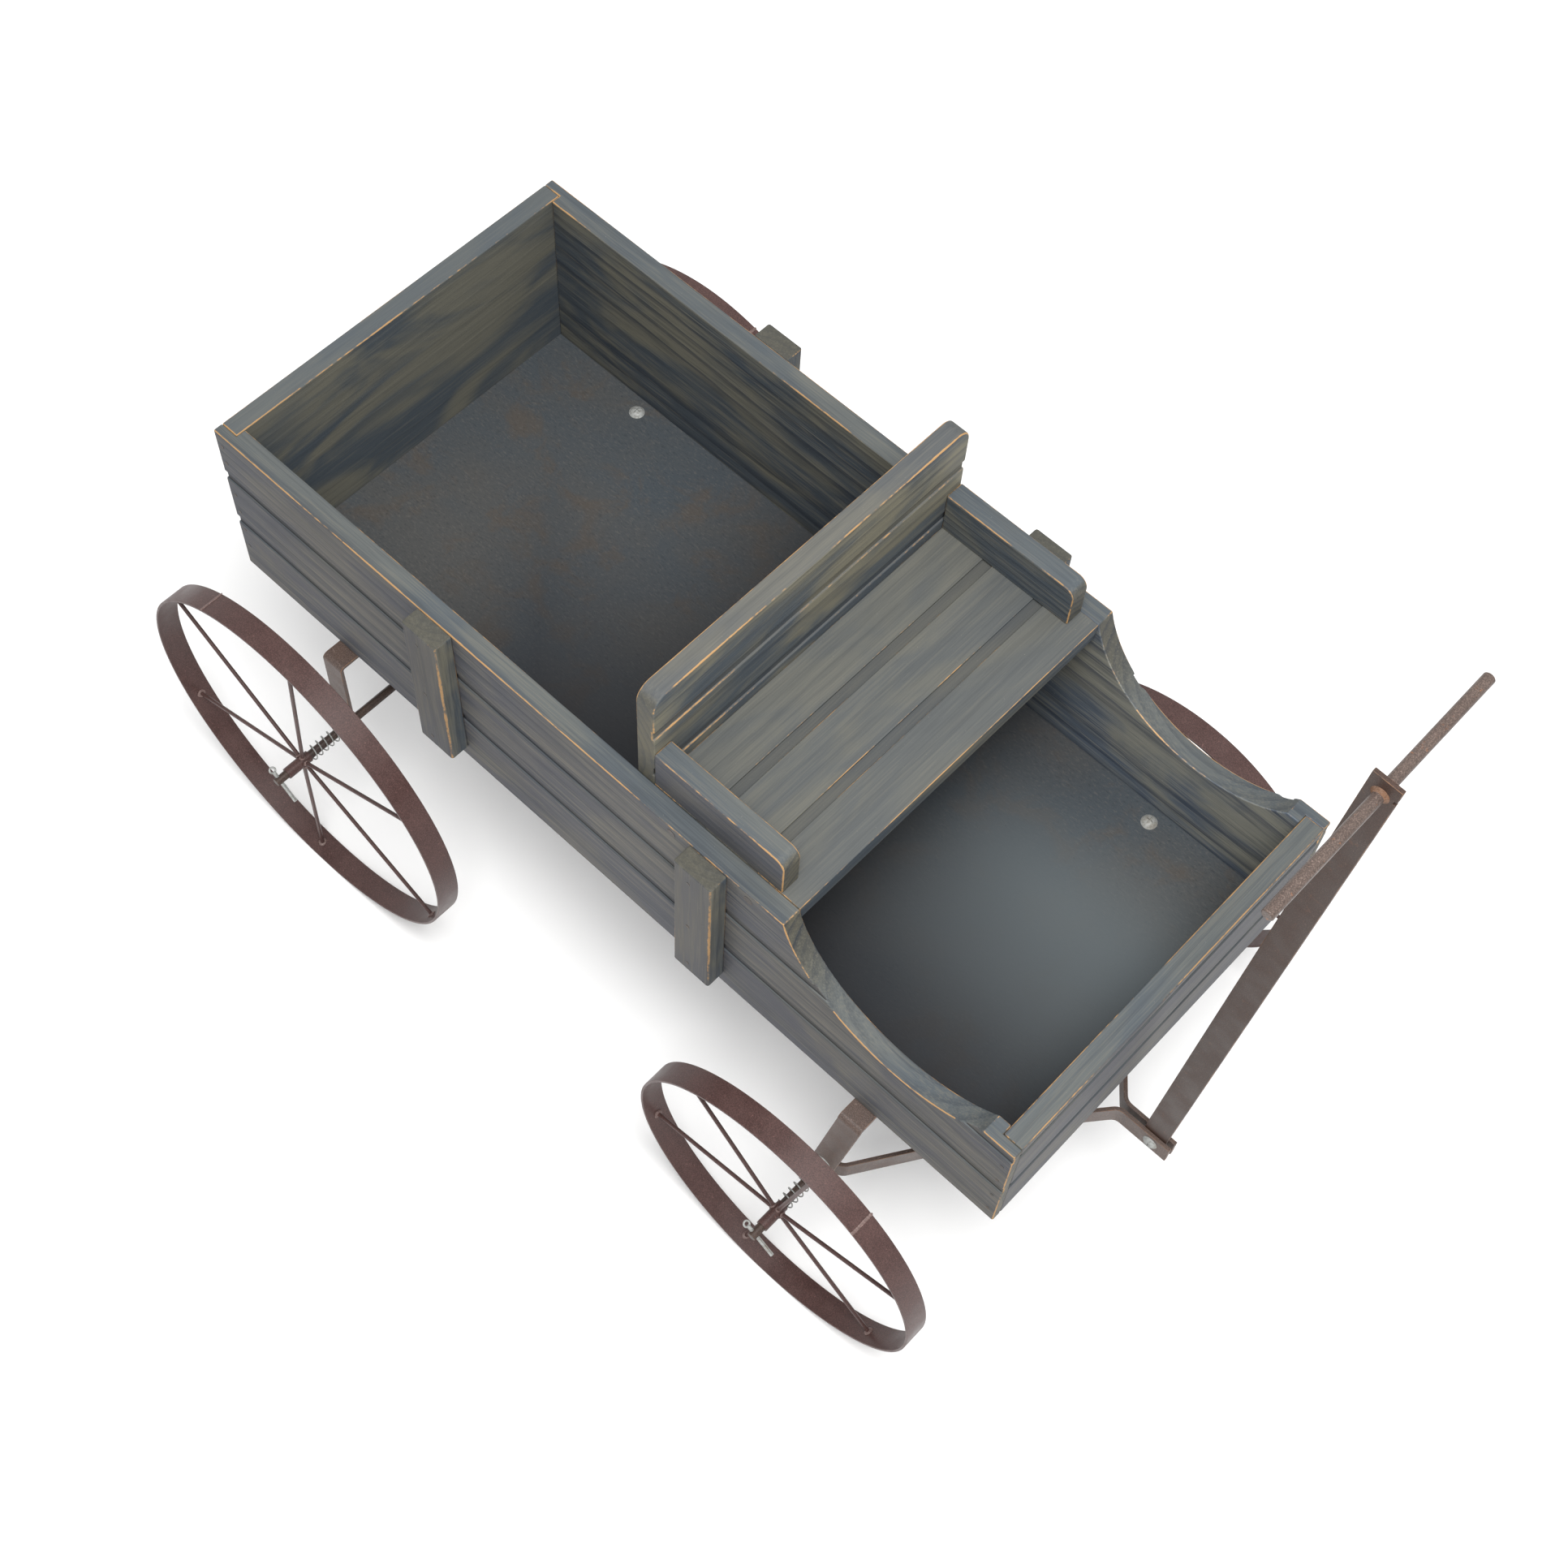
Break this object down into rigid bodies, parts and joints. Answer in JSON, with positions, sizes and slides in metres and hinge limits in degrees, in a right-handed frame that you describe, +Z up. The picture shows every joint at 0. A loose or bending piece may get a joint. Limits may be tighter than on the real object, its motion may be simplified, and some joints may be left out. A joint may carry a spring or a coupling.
{
  "type": "garden wagon",
  "caption": "Wooden buckboard garden wagon: grooved plank box with scooped sides, bench seat, spoked iron wheels on rod axles and a hinged flat-bar pull handle",
  "frame": {"origin": "on the ground, under the middle of the overall length and width", "axes": "+X forward towards the pull handle, +Y to the wagon's left, +Z up"},
  "size_m": [0.8266, 0.486, 0.6934],
  "materials": {
    "stained_wood": "thin blue-grey stain over pine, rubbed back on the edges",
    "floor_board": "dark slate stain on a smooth panel",
    "wheel_iron": "brown-purple satin paint with fine speckle",
    "strap_iron": "grey-brown satin paint",
    "rusty_weld": "bare weld with orange rust",
    "zinc": "bright zinc plating",
    "nail_steel": "dulled steel"
  },
  "bodies": {
    "chassis": {"side_board_left": "stained_wood", "side_board_right": "stained_wood", "rear_board": "stained_wood", "front_board": "stained_wood", "slat_rear_left": "stained_wood", "slat_rear_right": "stained_wood", "slat_front_left": "stained_wood", "slat_front_right": "stained_wood", "seat_board": "stained_wood", "backrest_board": "stained_wood", "armrest_left": "stained_wood", "armrest_right": "stained_wood", "floor_panel": "floor_board", "rear_bracket": "strap_iron", "front_bracket": "strap_iron", "rear_axle": "strap_iron", "front_axle": "strap_iron", "floor_screws": "zinc", "floor_nuts": "zinc", "tow_strap_left": "strap_iron", "tow_strap_right": "strap_iron", "strap_screws": "zinc", "strap_nuts": "zinc", "pivot_screw": "zinc", "pivot_nut": "zinc", "seat_screws": "nail_steel", "backrest_screws": "nail_steel", "armrest_nails": "nail_steel", "slat_nails": "nail_steel", "corner_nails": "nail_steel", "rear_left_spring": "zinc", "rear_left_pin": "zinc", "rear_right_spring": "zinc", "rear_right_pin": "zinc", "front_left_spring": "zinc", "front_left_pin": "zinc", "front_right_spring": "zinc", "front_right_pin": "zinc"},
    "rear_left_wheel": {"rear_left_rim": "wheel_iron", "rear_left_spokes": "wheel_iron", "rear_left_hub": "wheel_iron"},
    "rear_right_wheel": {"rear_right_rim": "wheel_iron", "rear_right_spokes": "wheel_iron", "rear_right_hub": "wheel_iron"},
    "front_left_wheel": {"front_left_rim": "wheel_iron", "front_left_spokes": "wheel_iron", "front_left_hub": "wheel_iron"},
    "front_right_wheel": {"front_right_rim": "wheel_iron", "front_right_spokes": "wheel_iron", "front_right_hub": "wheel_iron"},
    "handle": {"handle_bar": "strap_iron", "handle_grip": "strap_iron", "handle_welds": "rusty_weld"}
  },
  "joints": [
    {"name": "rear_left_wheel_spin", "type": "hinge", "parent": "chassis", "child": "rear_left_wheel", "pos_m": [-0.26032, 0.2142, 0.153], "axis": [0, 1, 0], "continuous": true},
    {"name": "rear_right_wheel_spin", "type": "hinge", "parent": "chassis", "child": "rear_right_wheel", "pos_m": [-0.26032, -0.2142, 0.153], "axis": [0, 1, 0], "continuous": true},
    {"name": "front_left_wheel_spin", "type": "hinge", "parent": "chassis", "child": "front_left_wheel", "pos_m": [0.22268, 0.2142, 0.1255], "axis": [0, 1, 0], "continuous": true},
    {"name": "front_right_wheel_spin", "type": "hinge", "parent": "chassis", "child": "front_right_wheel", "pos_m": [0.22268, -0.2142, 0.1255], "axis": [0, 1, 0], "continuous": true},
    {"name": "handle_swing", "type": "hinge", "parent": "chassis", "child": "handle", "pos_m": [0.37868, 0, 0.139], "axis": [0, 1, 0], "range_deg": [-7, 100]}
  ]
}
